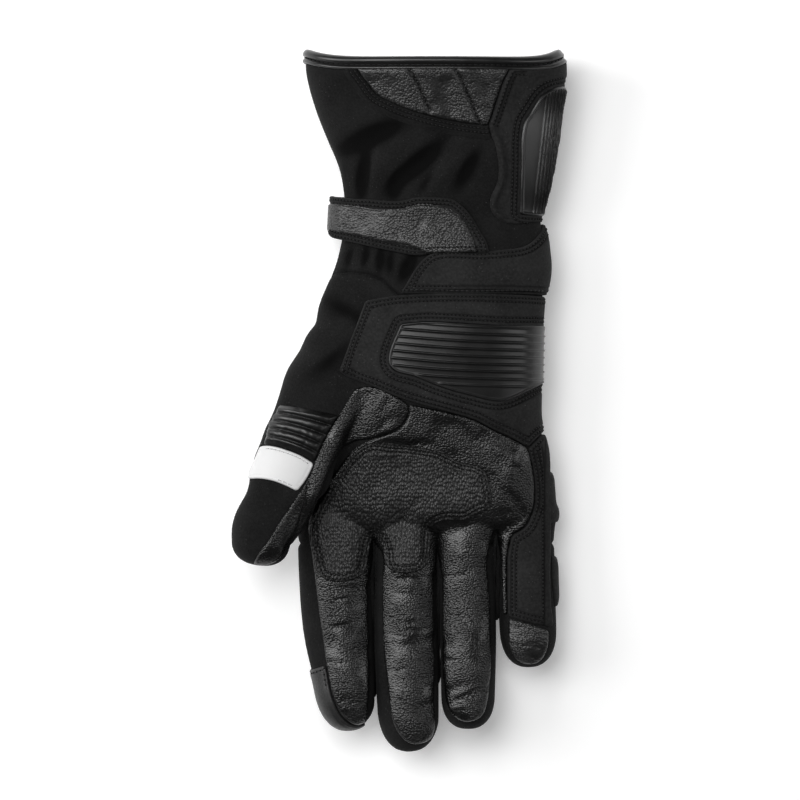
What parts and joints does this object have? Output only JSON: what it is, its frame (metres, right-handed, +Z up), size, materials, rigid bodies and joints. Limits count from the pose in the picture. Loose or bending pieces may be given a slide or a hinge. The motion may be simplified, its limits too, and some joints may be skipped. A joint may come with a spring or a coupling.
{
  "type": "winter motorcycle glove",
  "caption": "Black long-cuff winter riding glove for the right hand, lying palm up: leather palm, padded heel, ribbed grips, wrist strap, pale thumb band.",
  "frame": {"origin": "on the surface that the glove lies on, under the centre of its bounding box", "axes": "+X to the little-finger side, +Y along the glove to the cuff, +Z up out of the palm"},
  "size_m": [0.1566, 0.3294, 0.0529],
  "materials": {
    "softshell": "matte brushed stretch softshell",
    "leather": "satin grained leather",
    "binding": "smooth satin binding",
    "rubber": "semi-gloss moulded ribs",
    "accordion": "satin smooth leather in stitched rolls",
    "patch": "satin leather with a coarse pebbled grip",
    "textile": "matte woven textile",
    "reflector": "pale reflective coated fabric"
  },
  "bodies": {
    "root": {"cuff_shell": "softshell", "hand_shell": "softshell", "index_shell": "softshell", "middle_shell": "softshell", "ring_shell": "softshell", "little_shell": "softshell", "thumb_shell": "softshell", "rim_binding": "binding", "cuff_gusset": "leather", "cuff_side_panel": "textile", "cuff_grip": "rubber", "wrist_strap": "leather", "wrist_band": "textile", "heel_panel": "textile", "heel_grip": "rubber", "palm_leather": "leather", "palm_patch": "patch", "thumb_leather": "leather", "thumb_accordion": "accordion", "thumb_reflector": "reflector", "edge_panel": "textile", "little_tip_leather": "leather", "index_cap": "leather", "edge_pad_hand": "textile", "edge_pad_finger": "textile"}
  },
  "joints": []
}
